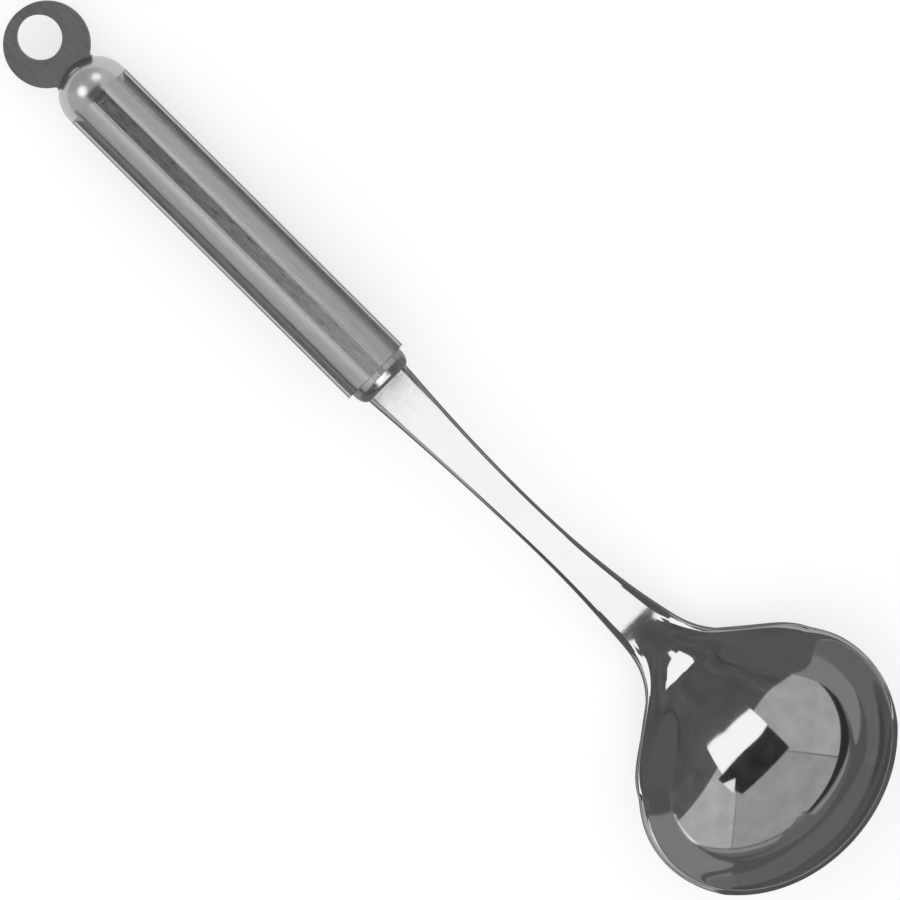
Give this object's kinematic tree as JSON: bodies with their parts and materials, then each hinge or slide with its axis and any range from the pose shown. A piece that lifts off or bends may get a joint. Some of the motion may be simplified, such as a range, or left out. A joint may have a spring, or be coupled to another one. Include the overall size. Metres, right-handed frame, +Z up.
{
  "type": "sauce ladle",
  "caption": "Stainless steel sauce ladle: oval pressed bowl on a waisted flat stem, ferrule, fluted hollow handle, domed cap and a round hanging ring.",
  "frame": {"origin": "middle of the bounding box on the surface that the ladle lies on", "axes": "+X from the hanging ring to the bowl's tip, +Y across the bowl, +Z up out of the open bowl"},
  "size_m": [0.2932, 0.0732, 0.0353],
  "materials": {
    "polished_steel": "mirror polished stainless steel",
    "satin_steel": "satin, brushed along the handle",
    "matt_steel": "matt, blasted"
  },
  "bodies": {
    "root": {"bowl_and_stem": "polished_steel", "front_ferrule": "satin_steel", "handle_tube": "satin_steel", "end_cap": "polished_steel", "hanging_ring": "matt_steel"}
  },
  "joints": []
}
